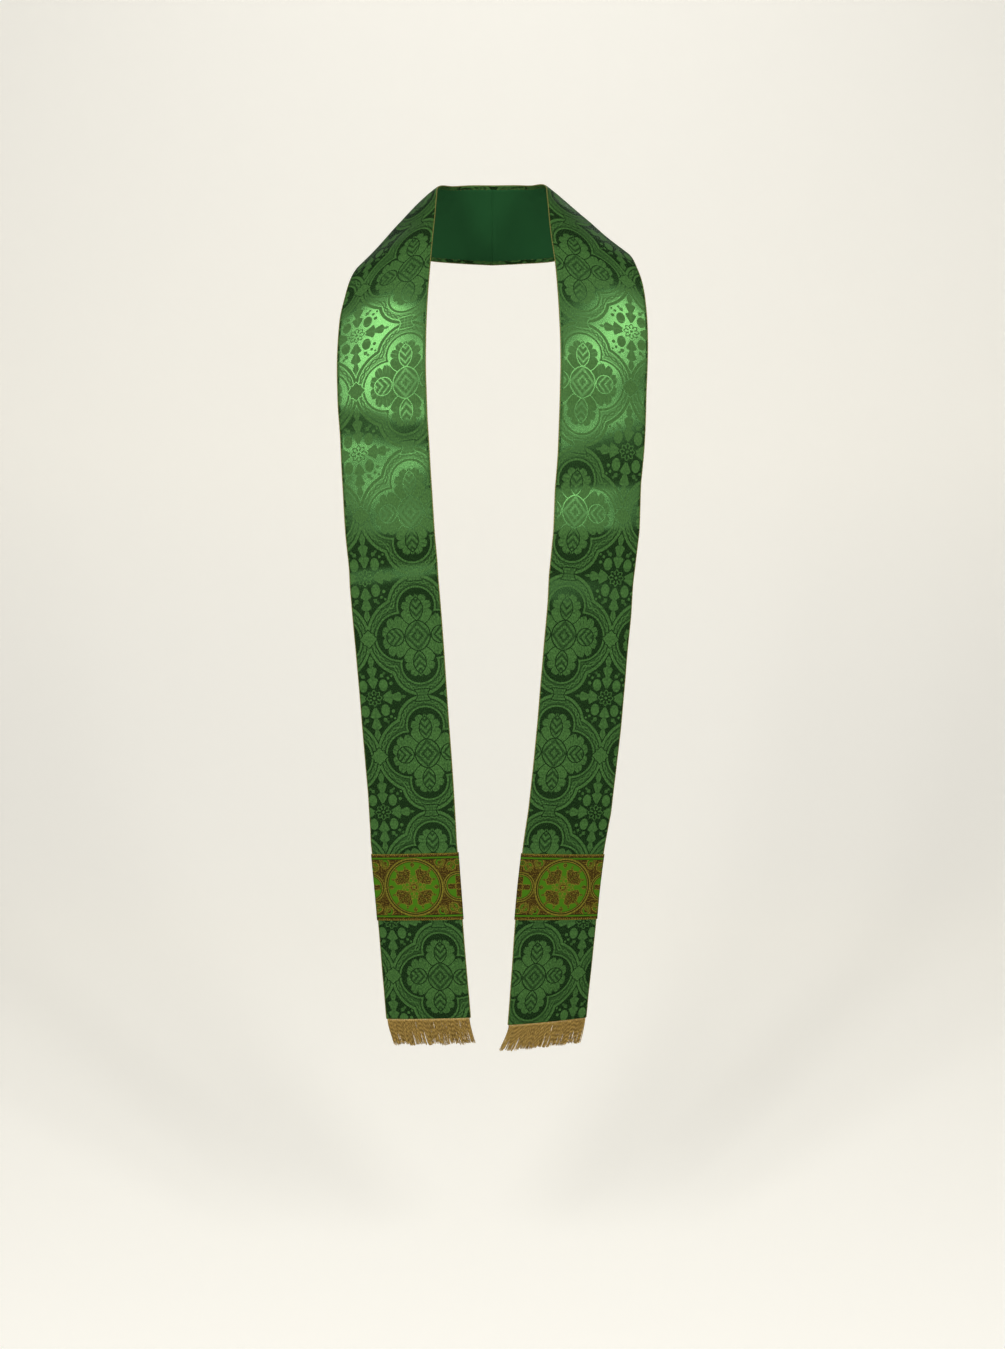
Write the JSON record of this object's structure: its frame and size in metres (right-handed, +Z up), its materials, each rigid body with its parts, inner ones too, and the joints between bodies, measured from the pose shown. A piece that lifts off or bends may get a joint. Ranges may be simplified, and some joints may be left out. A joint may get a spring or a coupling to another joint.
{
  "type": "liturgical stole",
  "caption": "Long lined liturgical stole in green brocade with a galloon and gold fringe at each end, shaped as worn around the neck and down the front.",
  "frame": {"origin": "middle of the neck, level with the tops of the shoulders, where the wearer carries the stole", "axes": "+Z up, -Y the way the wearer faces, +X to the wearer's left"},
  "size_m": [0.421, 0.2766, 1.219],
  "materials": {
    "brocade": "green satin damask brocade with a soft sheen",
    "galloon": "woven green and gold galloon with a metallic thread",
    "piping": "olive and gold twisted edge cord",
    "gold_thread": "twisted gold fringe thread"
  },
  "bodies": {
    "root": {"panel_left": "brocade", "panel_right": "brocade", "galloon_left": "galloon", "galloon_right": "galloon", "piping_left_inner": "piping", "piping_left_outer": "piping", "piping_right_inner": "piping", "piping_right_outer": "piping", "fringe_left": "gold_thread", "fringe_right": "gold_thread"}
  },
  "joints": []
}
